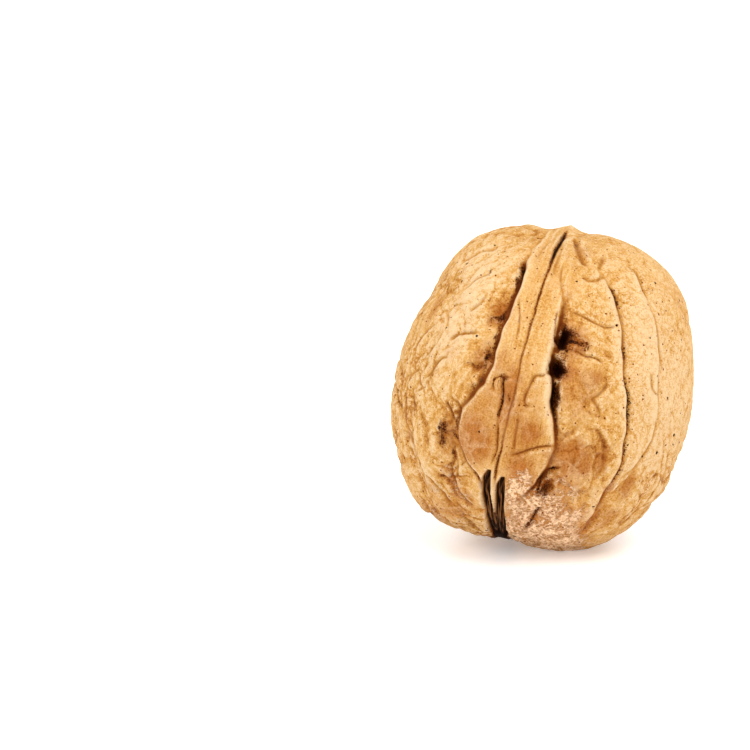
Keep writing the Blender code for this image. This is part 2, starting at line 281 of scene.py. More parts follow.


# Short creases: half width, depth, lip beside it, darkness of the painted shade in it, and (longitude,
# latitude) points
creases = (
    (0.30, 0.40, 0.09, 0.15, ((17, 74), (18, 65), (20, 57), (23, 52))),
    (0.22, 0.26, 0.06, 0.15, ((36, 60), (33, 56), (29, 51))),
    (0.18, 0.22, 0.08, 0.15, ((19, 48), (23, 45), (28, 46), (31, 49))),
    (0.08, 0.22, 0.04, 0.35, ((15, 32), (20, 31), (26, 29), (32, 28), (36, 29))),
    (0.09, 0.24, 0.06, 0.38, ((17, 18), (21, 17), (24, 16), (28, 16), (32, 14))),
    (0.14, 0.18, 0.08, 0.22, ((34, 11), (33, 6), (31, 3), (29, 1), (32, -2), (34, -5))),
    (0.20, 0.12, 0.08, 0.10, ((27, -8), (24, -12), (21, -15), (19, -19))),
    (0.22, 0.14, 0.09, 0.10, ((31, -8), (36, -12), (39, -17), (40, -23), (37, -29))),
    (0.16, 0.06, 0.06, 0.05, ((28, -15), (32, -17), (34, -21))),
    (0.12, 0.24, 0.08, 0.35, (
        (11.5, 8.5), (9.5, 6), (6.8, 5.2), (5.4, 0.8), (4.7, -3.6), (5.8, -5.6), (8.4, -4.6))),
    (0.13, 0.26, 0.12, 0.40, ((20, -17.6), (15.6, -18.8), (10.4, -20.9), (5.9, -23.4), (2.5, -24.5))),
    (0.18, 0.42, 0.03, 0.80, ((-3.2, 4.5), (-4, 1.3), (-3.5, -2), (-3, -6), (-3.5, -10), (-3.4, -14))),
    (0.10, 0.18, 0.02, 0.60, ((-3, 3.4), (-5.2, 2.8), (-7.2, 1.2), (-7.4, -1.2), (-6.6, -3.4))),
    (0.11, 0.22, 0.03, 0.50, ((-3.5, -12), (-2.6, -18), (-2.4, -24), (-4, -30))),
    (0.10, 0.16, 0.00, 0.25, ((4, -9), (4, -16), (4, -24))),
    (0.10, 0.14, 0.03, 0.30, ((-7, 33), (-5, 28), (-3, 22), (-3, 16))),
    (0.10, 0.16, 0.03, 0.40, ((10, 31), (10, 27), (11, 21), (12, 17))),
    (0.12, 0.14, 0.03, 0.20, ((9, 51), (9, 44), (11, 38), (12, 33))),
    (0.10, 0.12, 0.03, 0.15, ((6, 66), (6, 58), (5, 50), (5, 43))),
    (0.10, 0.12, 0.03, 0.15, ((-4, 66), (-6, 58), (-6, 50))),
    (0.22, 0.45, 0.12, 0.95, (
        (23.5, -25), (20.5, -27.3), (18.5, -29), (17.5, -32), (17.4, -36), (17, -41))),
    (0.14, 0.20, 0.12, 0.15, ((20.5, -28.5), (24, -29.5), (25.5, -32), (24.5, -34.5))),
    (0.28, 0.34, 0.10, 0.70, ((21.5, -43), (20.3, -48), (19.8, -52), (18.8, -57))),
    (0.20, 0.20, 0.06, 0.12, ((54, 54), (52, 45), (55, 41))),
    (0.16, 0.20, 0.07, 0.15, ((56, 36), (57, 27), (58, 22), (61, 15))),
    (0.16, 0.20, 0.06, 0.18, ((53, 15), (54, 9), (58, 6))),
    (0.18, 0.20, 0.09, 0.10, ((62, -2), (60, -9), (59, -15), (54, -22), (50, -26))),
    (0.22, 0.26, 0.07, 0.15, ((-37, 54), (-46, 50), (-55, 43))),
    (0.16, 0.20, 0.06, 0.20, ((-26, 41), (-31, 38), (-37, 32))),
    (0.15, 0.20, 0.04, 0.15, ((-22, 33), (-24, 28), (-27, 24))),
    (0.16, 0.26, 0.08, 0.25, ((-18, 17), (-23, 16), (-28, 15), (-32, 11))),
    (0.18, 0.26, 0.07, 0.20, ((-28, 6), (-32, 4), (-36, -1), (-40, -4))),
    (0.12, 0.20, 0.06, 0.30, ((-27, -10), (-24, -14), (-21, -18))),
    (0.20, 0.24, 0.07, 0.20, ((-52, -10), (-51, -18), (-52, -24), (-48, -29))),
    (0.18, 0.20, 0.06, 0.15, ((-44, 18), (-50, 12), (-54, 4))),
    (0.16, 0.34, 0.10, 0.25, (
        (-57, -25), (-50, -29), (-46, -35), (-39, -40), (-34, -46), (-32, -52), (-30, -56))),
    (0.16, 0.26, 0.08, 0.20, ((-55, -31), (-51, -37), (-48, -44), (-44, -51))),
    (0.14, 0.30, 0.10, 0.30, ((-22, -26), (-22, -32), (-24, -38), (-22, -46), (-15, -53))),
    (0.12, 0.18, 0.06, 0.20, ((-21, -28), (-20, -34), (-22, -40))),
)


def smoothPath(points, steps=6):
    corners = []
    for longitude, latitude in points:
        a, b = math.radians(longitude), math.radians(latitude)
        corners.append(Vector((math.sin(a) * math.cos(b), -math.cos(a) * math.cos(b), math.sin(b))))
    corners = [2 * corners[0] - corners[1], *corners, 2 * corners[-1] - corners[-2]]
    path = []
    for k in range(1, len(corners) - 2):
        a, b, c, d = corners[k - 1:k + 3]
        for step in range(steps):
            path.append(curveThrough(a, b, c, d, step / steps).normalized())
    return np.array([*path, corners[-2]])


def creaseRelief(direction, wobble):
    relief = np.zeros(len(direction))
    nearest = [np.full(len(direction), 9.0), np.zeros(len(direction)), np.full(len(direction), 0.2)]
    for width, depth, lip, dark, points in creases:
        path = smoothPath(points)
        middle = path.mean(axis=0)
        reach = np.linalg.norm(path - middle, axis=1).max() + 2.5 / meanRadius
        close = np.nonzero(np.linalg.norm(direction - middle, axis=1) < reach)[0]
        spots = direction[close]
        gaps = np.full(len(close), 9.0)
        share = np.zeros(len(close))
        side = np.zeros(len(close))
        for k in range(len(path) - 1):
            run = path[k + 1] - path[k]
            t = np.clip(((spots - path[k]) @ run) / (run @ run), 0, 1)
            gap = np.linalg.norm(spots - path[k] - t[:, None] * run, axis=1) * meanRadius
            nearer = gap < gaps
            gaps = np.where(nearer, gap, gaps)
            share = np.where(nearer, (k + t) / (len(path) - 1), share)
            side = np.where(nearer, np.sign(spots @ np.cross(path[k], run)), side)
        fade = ramp(share, 0.0, 0.2) * (1.0 - ramp(share, 0.8, 1.0))
        offset = gaps * side + 0.3 * wobble[close]
        reachOut = width + 0.1
        cut = depth * np.exp(-((offset / reachOut) ** 2))
        raised = lip * np.exp(-(((offset - 2 * reachOut) / reachOut) ** 2))
        relief[close] += (raised - cut) * fade
        better = (np.abs(offset) < np.abs(nearest[0][close])) & (gaps < 1.0)
        for kept, found in zip(nearest, (offset, dark * fade, np.full(len(close), width * 0.6))):
            kept[close] = np.where(better, found, kept[close])
    nearest[1] = nearest[1] * (1.0 - ramp(np.abs(nearest[0]), 0.45, 0.7))
    return relief, nearest


# Pits, hollows and lobes: longitude, latitude, half width, half length, height
pits = (
    (13.7, 21.2, 0.6, 1.35, -1.4),
    (13.6, 10.0, 1.0, 1.2, -1.9),
    (15.2, -1, 0.4, 1.8, -0.6),
    (21.2, -35, 0.75, 1.2, -0.7),
    (168.0, 18, 0.9, 2.2, -1.3),
    (-163.0, -8, 0.9, 2.4, -1.2),
    (196.0, -33, 0.7, 1.6, -0.9),
)
lobes = (
    (24, 40, 3.0, 2.6, 0.45),
    (26, 23, 2.4, 1.8, 0.30),
    (24, 6, 3.0, 2.2, 0.40),
    (24, -6, 2.6, 1.8, 0.30),
    (28, -23, 2.6, 2.3, 0.45),
    (50, 24, 2.6, 5.5, 0.30),
    (54, -16, 2.4, 5.0, 0.35),
    (-28, 34, 4.0, 3.6, 0.40),
    (-30, 4, 3.6, 4.4, 0.35),
    (-34, -30, 3.8, 4.2, 0.30),
    (-12, -17, 1.5, 2.6, 0.25),
    (-85, 71, 2.6, 2.2, 0.08),
    (-90, 82.5, 1.5, 1.4, -0.55),
    (17.8, 21.5, 1.2, 0.9, -0.5),
    (-14, 36, 1.3, 1.4, -0.3),
    (-13.5, 27, 1.2, 1.9, -0.5),
    (-14.8, 7, 1.2, 1.6, -0.45),
    (-24, -22, 1.3, 1.9, -0.45),
    (-40, -36, 2.2, 2.6, 0.3),
    (-52, -38, 1.6, 3.0, -0.3),
    (47, -36, 0.6, 3.0, -0.3),
    (52, -48, 0.8, 2.4, -0.3),
    (-22, -42, 1.6, 2.4, -0.25),
)


def spotSum(longitude, latitude, spots, squareness):
    total = np.zeros_like(latitude)
    for spotLongitude, spotLatitude, width, length, height in spots:
        across = acrossMm((longitude - spotLongitude + 180.0) % 360.0 - 180.0, spotLatitude)
        along = alongMm(latitude - spotLatitude)
        total += height * np.exp(-(((across / width) ** 2 + (along / length) ** 2) ** squareness))
    return total


# Dry fibre strands where the front seam opens near the stem end: two dark ropes with a strip of shell
# between them. Below "hollow" they are colour alone
strands = {
    "ropes": (
        (
            (-90, -3), (-70, -4.4), (-65, -4.6), (-59, -5), (-50, -6), (-41, -6.5), (-36, -6),
            (-33, -5), (-30, -3.5),
        ),
        ((-90, 0.5), (-70, 1.6), (-58, 1), (-48, 0.7), (-40, 0.4), (-35, 1), (-31, 2.4)),
    ),
    "tops": (-31.5, -33.5),
    "grooveWidth": 0.5, "grooveDepth": 0.8,
    "ropeWidth": 0.26, "ropeHeight": 0.55,
    "hollow": -68, "end": -90, "fade": 5.0, "taper": 5.0,
}


def strandRelief(longitude, latitude, wobble):
    relief = np.zeros_like(latitude)
    share = np.zeros_like(latitude)
    across = np.full_like(latitude, 9.0)
    for rope, top in zip(strands["ropes"], strands["tops"]):
        offset = offsetFrom(rope, longitude, latitude) + 0.25 * wobble
        below = ramp(latitude, strands["hollow"] - strands["fade"], strands["hollow"])
        fade = ramp(latitude, strands["end"], strands["end"] + strands["fade"])
        fade = fade * (1.0 - ramp(latitude, top - 1, top))
        taper = np.clip((top - latitude) / strands["taper"], 0.0, 1.0)
        width = 0.3 + 0.7 * taper + 0.3 * ramp(-latitude, 45, 70)
        reach = strands["grooveWidth"] * width
        groove = (1.0 - ramp(np.abs(offset), reach - 0.15, reach + 0.15)) * fade
        rounded = np.exp(-((offset / (strands["ropeWidth"] * width)) ** 2)) * fade
        relief = np.minimum(relief, -strands["grooveDepth"] * groove * below)
        relief += strands["ropeHeight"] * rounded * below
        share = np.maximum(share, groove)
        across = np.where(np.abs(offset) < np.abs(across), offset, across)
    return relief, share, across


# Wrinkles over the valves. Sizes and heights are in millimetres
wrinkles = {
    "warpSize": 9.0, "warpReach": 3.2, "warpSeed": 1,
    "swellSize": 5.2, "swellHeight": 0.26,
    "foldSize": 2.6, "foldHeight": 0.13,
    "netSize": 3.6, "netDepth": 0.2, "netWidth": 0.26,
    "fineNetSize": 1.9, "fineNetDepth": 0.08, "fineNetWidth": 0.2,
    "slantLength": 5.0, "slantWidth": 2.0, "slantHeight": 0.14,
    "grainSize": 0.8, "grainHeight": 0.035, "crustHeight": 0.07,
    "fibreHeight": 0.10, "fineFibreHeight": 0.06,
    "wobbleSize": 2.2, "wobbleReach": 0.35, "shakeSize": 0.9, "shakeDegrees": 1.6,
}


def plainNoise(points, size, stretch=1.0, seed=0.0):
    grain = Vector((1.0 / size, 1.0 / size, 1.0 / (size * stretch)))
    shift = Vector((seed, seed * 0.7, -seed))
    return np.array([noise.noise(p * grain + shift) for p in points])


def foldedNoise(points, size, stretch, seed=0.0):
    # flat swellings that meet in creases, -0.5 in a crease and 0.5 at a crown
    return np.minimum(1.0, 3.0 * np.abs(plainNoise(points, size, stretch, seed))) ** 0.8 - 0.5


def brokenNet(points, size, stretch, width, seed):
    # 1 on the edges between irregular cells, with stretches of them missing
    grain = Vector((1.0 / size, 1.0 / size, 1.0 / (size * stretch)))
    shift = Vector((seed, -seed, 0.5 * seed))
    edges = []
    for p in points:
        spot = p * grain + shift
        near = noise.voronoi(spot)[0]
        present = noise.noise(spot * 0.55 + shift)
        edge = math.exp(-(((near[1] - near[0]) * size / width) ** 2))
        edges.append(edge * min(1.0, max(0.0, 0.3 + 2.4 * present)))
    return np.array(edges)


def wrinkleRelief(direction, longitude, latitude):
    # Blender draws its noise vectors by the clock unless it is given a seed
    noise.seed_set(wrinkles["warpSeed"])
    plain = [Vector(d) for d in direction * meanRadius]
    warped = [p + wrinkles["warpReach"] * noise.noise_vector(p / wrinkles["warpSize"]) for p in plain]
    twisted = [p + 0.55 * noise.noise_vector(p / 1.6) for p in warped]
    report("points warped")
    swells = foldedNoise(warped, wrinkles["swellSize"], 1.7)
    folds = foldedNoise(twisted, wrinkles["foldSize"], 1.5)
    net = brokenNet(twisted, wrinkles["netSize"], 1.5, wrinkles["netWidth"], 0.0)
    fineNet = brokenNet(twisted, wrinkles["fineNetSize"], 1.3, wrinkles["fineNetWidth"], 4.0)
    grain = foldedNoise(twisted, wrinkles["grainSize"], 1.2, 3.0)
    report("wrinkles drawn")

    # on the valves the folds lean: up and towards the seam
    fromSide = acrossMm(np.abs(longitude) - 90.0, latitude)
    slant = []
    for u, v, p in zip(fromSide, alongMm(latitude), plain):
        valve = 7.0 if p.x > 0 else 2.0
        spot = Vector(((v - u) / wrinkles["slantLength"], (u + v) / wrinkles["slantWidth"], valve))
        slant.append(min(1.0, 2.6 * abs(noise.noise(spot + 0.5 * noise.noise_vector(p / 2.5)))))
    slant = np.array(slant) ** 0.8 - 0.5
    report("leaning folds drawn")

    # the front's right valve is smoother than the rest but for its low part, the stem end is rougher
    smooth = ramp(longitude, 8, 20) * (1.0 - ramp(longitude, 80, 120))
    smooth = smooth * (1.0 - 0.5 * ramp(-latitude, 5, 26))
    rough = 1.0 - 0.55 * smooth
    rough = rough * (0.85 + 0.6 * ramp(-latitude, -25, 30))
    lean = ramp(np.abs(longitude), 6, 16) * (1.0 - ramp(np.abs(longitude), 150, 168)) * rough
    lean = lean * (1.0 - 0.8 * ramp(np.abs(latitude), 35, 60))
    coarse = wrinkles["swellHeight"] * swells * (0.4 + 0.6 * rough) + wrinkles["foldHeight"] * folds * rough
    cuts = wrinkles["netDepth"] * net * rough + wrinkles["fineNetDepth"] * fineNet * rough
    fine = wrinkles["slantHeight"] * slant * lean + wrinkles["grainHeight"] * grain * rough
    return {
        "relief": coarse - cuts + fine,
        "cuts": np.maximum(net, 0.7 * fineNet) * rough,
        "grain": grain,
        "wobble": wrinkles["wobbleReach"] * plainNoise(plain, wrinkles["wobbleSize"], 1.0, 5.0),
        "shake": [
            wrinkles["shakeDegrees"] * plainNoise(plain, wrinkles["shakeSize"], 1.0, seed)
            for seed in (8.0, 11.0)],
    }


def fibreRelief(fromCrack, latitude):
    # long ridges along the seam, 0.7 and 0.25 mm wide, and higher towards the tip
    along = alongMm(latitude)
    coarse = np.array([noise.noise(Vector((c * 1.5, a * 0.1, 0.0))) for c, a in zip(fromCrack, along)])
    fine = np.array([noise.noise(Vector((c * 4.0, a * 0.2, 3.0))) for c, a in zip(fromCrack, along)])
    nearTip = 1.0 + 1.2 * ramp(latitude, 45, 65)
    return (wrinkles["fibreHeight"] * coarse + wrinkles["fineFibreHeight"] * fine) * nearTip


# Colour that doesn't follow the relief, with painted shade in the pits and hollows and beside the seam
# flanks: longitude, latitude, half width, half length, strength
stainsAndShade = {
    # speckled black marks, and painted shade in the hearts of the pits and in the hollow at the stem end
    "blackMarksAndShade": (
        (-20.7, -17, 0.4, 1.0, 1.0), (-27.5, -20.5, 0.45, 1.1, 0.85), (-27.3, -26, 0.55, 0.8, 0.8),
        (-20.6, -22.8, 0.6, 0.6, 0.95), (-22.3, -30, 0.35, 0.9, 1.1), (-24, -34.6, 0.3, 0.45, 0.9),
        (-24, -22, 1.5, 2.2, 0.35), (-11.5, -34.7, 0.25, 0.4, 0.9), (-10.6, 44, 0.35, 1.2, 0.95),
        (-9.8, 39, 0.4, 1.4, 0.85), (-9.9, 34, 0.45, 1.6, 0.8), (-10.3, 29, 0.5, 1.2, 0.8),
        (-13.5, 26, 1.2, 1.2, 0.4), (-11.2, 24.5, 0.5, 0.8, 0.85), (-14.5, 24, 0.9, 0.4, 0.7),
        (-11.5, 20, 0.4, 0.9, 0.75), (-11, 15.5, 0.45, 0.6, 1.0), (-12.8, 11, 0.7, 1.6, 0.55),
        (-12.8, 8.7, 0.7, 0.7, 1.0), (-16.5, 5, 1.2, 0.4, 0.7), (-12.6, 2, 0.35, 1.0, 0.7),
        (-15.5, -4.5, 0.35, 1.4, 0.75), (-3.9, 3.4, 0.45, 0.3, 1.1), (-1, -4.5, 0.25, 0.9, 0.8),
        (-27, 41, 0.35, 0.4, 1.0), (-25, 46, 0.3, 0.35, 0.8), (-23, 16, 0.5, 0.2, 0.7),
        (-37, 42, 0.5, 0.2, 0.5), (13.8, 21, 0.65, 1.5, 1.7), (17, 22, 1.4, 1.4, 1.0),
        (20, 20.5, 1.5, 0.3, 0.85), (23.5, 19, 0.5, 0.4, 0.7), (14, 27, 0.3, 1.4, 0.7),
        (16.5, 17, 0.8, 0.6, 0.6), (-2.5, -56, 0.5, 4.0, 0.6), (13.8, 10, 0.95, 1.15, 1.7),
        (16.9, 9, 0.7, 1.1, 0.75), (16.5, 14, 0.5, 0.5, 0.6), (15.6, 1, 0.5, 1.5, 1.0),
        (17.2, -1, 0.5, 0.5, 0.7), (16.2, -4, 0.35, 0.8, 0.8), (21.0, -36.2, 0.8, 1.1, 1.15),
        (18.2, -30.5, 0.35, 0.8, 0.9), (22.5, -26.5, 0.4, 0.3, 1.2), (26.3, -31, 0.3, 0.2, 1.0),
        (17.2, -38, 0.35, 0.7, 0.9), (19.4, -55, 0.45, 0.8, 1.0), (9, -68.5, 1.3, 0.45, 1.9),
        (35, -33, 0.6, 0.3, 0.6), (40, -34, 0.4, 0.15, 0.8), (-2, -71, 1.0, 1.2, 1.9),
        (-3, -80, 1.4, 2.0, 2.3), (168, 18, 0.8, 2.0, 1.2), (-163, -8, 0.8, 2.2, 1.2),
        (196, -33, 0.6, 1.4, 1.0), (98, -14, 0.6, 1.6, 0.6), (131, 24, 0.5, 1.6, 0.7),
        (-84, -36, 0.7, 1.4, 0.7), (-134, -6, 0.5, 1.8, 0.8), (-70, 20, 0.5, 0.8, 0.6),
        (118, -34, 0.7, 0.8, 0.6),
    ),
    # brown staining, soft edged, with painted shade beside the seam flanks and under the lobes, and more of
    # it towards the stem end as painted shade. Negative ones pale the shell, partly painted highlight
    "stemEndRustAndShade": 0.08,
    "rustAndShade": (
        (17.8, 21, 2.0, 1.9, 1.3), (17.5, 9, 1.8, 1.7, 0.8), (27, -22, 3.0, 2.4, 1.3),
        (39, -19, 0.8, 2.2, 0.6), (29, 10, 1.1, 1.0, 0.7), (57, -28, 1.2, 2.2, 1.0),
        (-52, 24, 1.4, 2.6, 0.7), (-49, 35, 1.0, 1.6, 0.5), (-34, 1, 0.9, 1.4, 0.8),
        (-11, -24, 2.0, 2.2, 0.7), (-14.5, 8, 1.8, 1.9, 0.8), (-13.5, 27, 1.7, 2.3, 1.0),
        (-51, -20, 0.8, 2.6, 0.6), (20, -36, 1.0, 1.8, 0.8), (29, -47.5, 0.9, 0.9, 0.9),
        (47.5, -28, 0.5, 2.2, 0.8), (47.5, -37, 0.5, 2.2, 0.9), (51.5, -47, 0.7, 2.2, 1.0),
        (61, -43, 1.2, 2.0, 0.6), (3, -4, 2.0, 4.0, 0.4), (9.5, -15, 1.2, 1.5, 0.8),
        (-11, -20, 2.4, 2.6, 0.8), (-12, -11, 2.2, 3.0, 0.35), (0, 55, 3.0, 6.0, 0.2),
        (1, 25, 2.4, 8.0, 0.15), (-1.3, -3, 0.9, 3.4, 1.0), (-7, -2, 1.6, 2.4, 0.4),
        (5, -20, 2.0, 4.0, 0.45), (7.5, -28, 1.6, 1.6, 0.5), (-6, 9, 0.8, 1.8, 0.5),
        (24, 2, 2.6, 3.0, 0.65), (-30, -20, 6.0, 7.0, 0.05), (60, -10, 5.0, 10.0, -0.2),
        (-36, 42, 5.0, 5.0, -0.4), (-34, 14, 4.0, 5.0, -0.3), (75, 0, 7.0, 12.0, -0.35),
        (48, 28, 5.0, 9.0, -0.3), (-28, 20, 3.0, 5.0, -0.3), (-40, -8, 5.0, 7.0, -0.2),
        (22, 61, 1.2, 1.4, 0.4), (-24, -23, 2.0, 2.4, 0.5), (10, -32, 1.8, 1.8, 0.4),
        (-30, -55, 2.6, 1.8, 0.6), (18, -44, 4.2, 3.4, 0.5), (22, -58, 4.6, 2.6, 0.6),
        (100, -30, 2.4, 3.0, 0.5), (140, 10, 1.8, 3.2, 0.5), (-110, 30, 2.4, 2.4, 0.4),
        (-150, -30, 2.2, 3.4, 0.5), (175, 40, 1.6, 2.6, 0.4), (80, 40, 1.8, 2.4, 0.35),
        (-95, -20, 2.0, 2.6, 0.5),
    ),
    # pale flaking skin
    "crust": (
        (12, -44, 2.2, 3.4, 0.9), (25, -42, 2.6, 2.4, 0.85), (15, -58, 3.6, 2.6, 1.0),
        (36, -48, 2.4, 2.0, 0.85), (31, -33, 2.0, 1.2, 0.7), (40, -42, 1.2, 1.6, 0.6),
        (34, -60, 3.0, 2.0, 0.8), (24, -30, 1.0, 0.8, 0.8), (24, -70, 3.0, 1.5, 1.0),
        (48, -70, 4.0, 1.7, 0.9), (78, -66, 4.0, 1.6, 0.7), (50, -56, 2.2, 2.0, 0.75),
        (9, -31, 1.8, 1.8, 0.62), (6, -38, 1.4, 2.4, 0.6), (16, 27, 0.9, 1.2, 0.6),
        (-25, -39, 1.2, 2.4, 0.7), (-19, -47, 1.6, 1.8, 0.65), (-40, -46, 1.6, 2.0, 0.5),
        (56, -44, 2.6, 2.4, 0.4), (-28, 8, 1.8, 1.8, 0.4), (13, 37, 1.0, 1.6, 0.5),
        (120, -50, 4.0, 3.0, 0.6), (-110, -52, 4.0, 3.0, 0.6), (180, -54, 3.4, 2.4, 0.6),
        (60, -62, 4.0, 2.4, 0.7), (-60, -60, 4.0, 2.6, 0.7), (0, -80, 4.0, 3.0, 0.7),
    ),
}

pose = {"turn": -9.0, "leanRight": 10.5, "leanBack": 10.0, "seatDepth": 0.75}
# the grid is crowded to the seams and, by frontPull under 1, to the front. The rounds of blurring tell
# how far off a hollow or a bulge is measured for the painted shade and highlight in its colour
mesh = {"cuts": 126, "crowding": 0.2, "frontPull": 0.82, "nearRounds": 14, "wideRounds": 160}


def makeBall():
    bm = bmesh.new()
    bmesh.ops.create_cube(bm, size=2.0)
    bmesh.ops.subdivide_edges(bm, edges=bm.edges, cuts=mesh["cuts"], use_grid_fill=True)
    for vert in bm.verts:
        x, y, z = vert.co
        x = x * (1.0 - mesh["crowding"] + mesh["crowding"] * x * x)
        spot = Vector([math.tan(side * math.pi / 4) for side in (x, y, z)]).normalized()
        fromFront = math.acos(max(-1.0, min(1.0, -spot.y)))
        pulled = 2 * math.atan(mesh["frontPull"] * math.tan(min(fromFront, math.pi - 1e-6) / 2))
        rim = Vector((spot.x, 0, spot.z))
        if rim.length > 1e-6:
            rim.normalize()
        vert.co = math.sin(pulled) * rim + Vector((0, -math.cos(pulled), 0))
    return bm


def shellRelief(direction):
    latitude = np.degrees(np.arcsin(np.clip(direction[:, 2], -1.0, 1.0)))
    longitude = np.degrees(np.arctan2(direction[:, 0], -direction[:, 1]))
    wrinkle = wrinkleRelief(direction, longitude, latitude)
    wobble = wrinkle["wobble"]
    # spots are placed by a shaken longitude and latitude, so their borders are ragged
    sideways, upDown = wrinkle["shake"]
    shaken = longitude + sideways / np.cos(np.radians(latitude)).clip(0.2), latitude + upDown
    front = seamRelief(seam["front"], longitude, latitude, wobble)
    back = seamRelief(seam["back"], longitude - 180.0, latitude, wobble)
    atFront = np.abs(longitude) < 90
    band = np.maximum(front["within"], back["within"])
    slotLine, crackLine = (
        [np.where(atFront, a, b) for a, b in zip(front[name], back[name])]
        for name in ("slotLine", "crackLine"))
    furrow, furrowLine = furrowRelief(longitude, latitude, 0.4 * wobble)
    crease, creaseLine = creaseRelief(direction, wobble)
    strand, strandShare, strandAcross = strandRelief(longitude, latitude, wobble)
    pit = spotSum(*shaken, pits, 2.6)
    crust = spotSum(*shaken, stainsAndShade["crust"], 1.2)
    calm = (1.0 - 0.8 * band) * (1.0 - strandShare)
    radius = (
        bodyRadius(direction, latitude)
        + spotSum(longitude, latitude, lobes, 1.0)
        + front["relief"] + back["relief"]
        + furrow + crease + strand + pit
        + wrinkle["relief"] * calm
        + wrinkles["crustHeight"] * wrinkle["grain"] * np.clip(crust, 0, 1)
        + fibreRelief(crackLine[0], latitude) * band
    )
    report("relief put together")
    return {
        "radius": radius, "band": band, "cuts": wrinkle["cuts"] * calm,
        "slotLine": slotLine, "crackLine": crackLine, "furrowLine": furrowLine, "creaseLine": creaseLine,
        "strandShare": strandShare, "strandAcross": strandAcross,
        "blackMarksAndShade": spotSum(*shaken, stainsAndShade["blackMarksAndShade"], 1.2),
        "rustAndShade": spotSum(*shaken, stainsAndShade["rustAndShade"], 1.2) + stainsAndShade["stemEndRustAndShade"] * ramp(-latitude, -25, 30),
        "crust": crust,
        "along": alongMm(latitude),
    }


def blurred(values, ends, rounds):
    counts = np.bincount(ends.ravel(), minlength=len(values))
    for _ in range(rounds):
        total = np.bincount(ends[:, 0], values[ends[:, 1]], len(values))
        total += np.bincount(ends[:, 1], values[ends[:, 0]], len(values))
        values = 0.5 * values + 0.5 * total / counts
    return values


def addVectors(meshData, name, *columns):
    made = meshData.attributes.new(name, "FLOAT_VECTOR", "POINT")
    made.data.foreach_set("vector", np.stack(columns, axis=1).astype(np.float32).ravel())


def makeShell():
    bm = makeBall()
    report("ball made")
    direction = np.array([vert.co for vert in bm.verts])
    relief = shellRelief(direction)
    turned = (
        Matrix.Rotation(math.radians(-pose["leanBack"]), 3, "X")
        @ Matrix.Rotation(math.radians(pose["leanRight"]), 3, "Y")
        @ Matrix.Rotation(math.radians(pose["turn"]), 3, "Z")
    )
    local = direction * relief["radius"][:, None]
    standing = local * mm @ np.array(turned).T
    seat = standing[:, 2].min() + pose["seatDepth"] * mm
    standing[:, 2] = np.maximum(standing[:, 2], seat)
    middle = (standing.min(axis=0) + standing.max(axis=0)) / 2
    standing -= (middle[0], middle[1], seat)
    meshData = bpy.data.meshes.new("nutShell")
    bm.to_mesh(meshData)
    bm.free()
    meshData.vertices.foreach_set("co", standing.astype(np.float32).ravel())
    meshData.shade_smooth()

    ends = np.zeros(len(meshData.edges) * 2, np.int32)
    meshData.edges.foreach_get("vertices", ends)
    ends = ends.reshape(-1, 2)
    near = blurred(relief["radius"], ends, mesh["nearRounds"])
    wide = blurred(near, ends, mesh["wideRounds"])
    report("hollows measured")
    addVectors(meshData, "nutPlace", *local.T)
    addVectors(meshData, "height", relief["radius"] - near, near - wide, relief["cuts"])
    addVectors(meshData, "slotLine", *relief["slotLine"])
    addVectors(meshData, "crackLine", *relief["crackLine"])
    addVectors(meshData, "furrowLine", *relief["furrowLine"])
    addVectors(meshData, "creaseLine", *relief["creaseLine"])
    addVectors(meshData, "stainAndShade", relief["blackMarksAndShade"], relief["rustAndShade"], relief["crust"])
    addVectors(meshData, "seamPlace", relief["crackLine"][0], relief["along"], relief["band"])
    addVectors(meshData, "strand", relief["strandAcross"], relief["along"], relief["strandShare"])
    meshData.update()
    shell = bpy.data.objects.new("nutShell", meshData)
    bpy.context.scene.collection.objects.link(shell)
    report(f"shell made, {len(meshData.polygons) * 2} triangles")
    return shell


def hexColour(code):
    parts = [int(code[i:i + 2], 16) / 255 for i in (1, 3, 5)]
    return tuple(p / 12.92 if p <= 0.04045 else ((p + 0.055) / 1.055) ** 2.4 for p in parts) + (1.0,)


def addNode(tree, kind, settings, links):
    # a setting or a link is named by an input's name or number, or by the node's own property
    node = tree.nodes.new("ShaderNode" + kind)
    for name, value in settings.items():
        if isinstance(name, int) or name in node.inputs:
            node.inputs[name].default_value = value
        else:
            setattr(node, name, value)
    for name, source in links.items():
        tree.links.new(source, node.inputs[name])
    return node


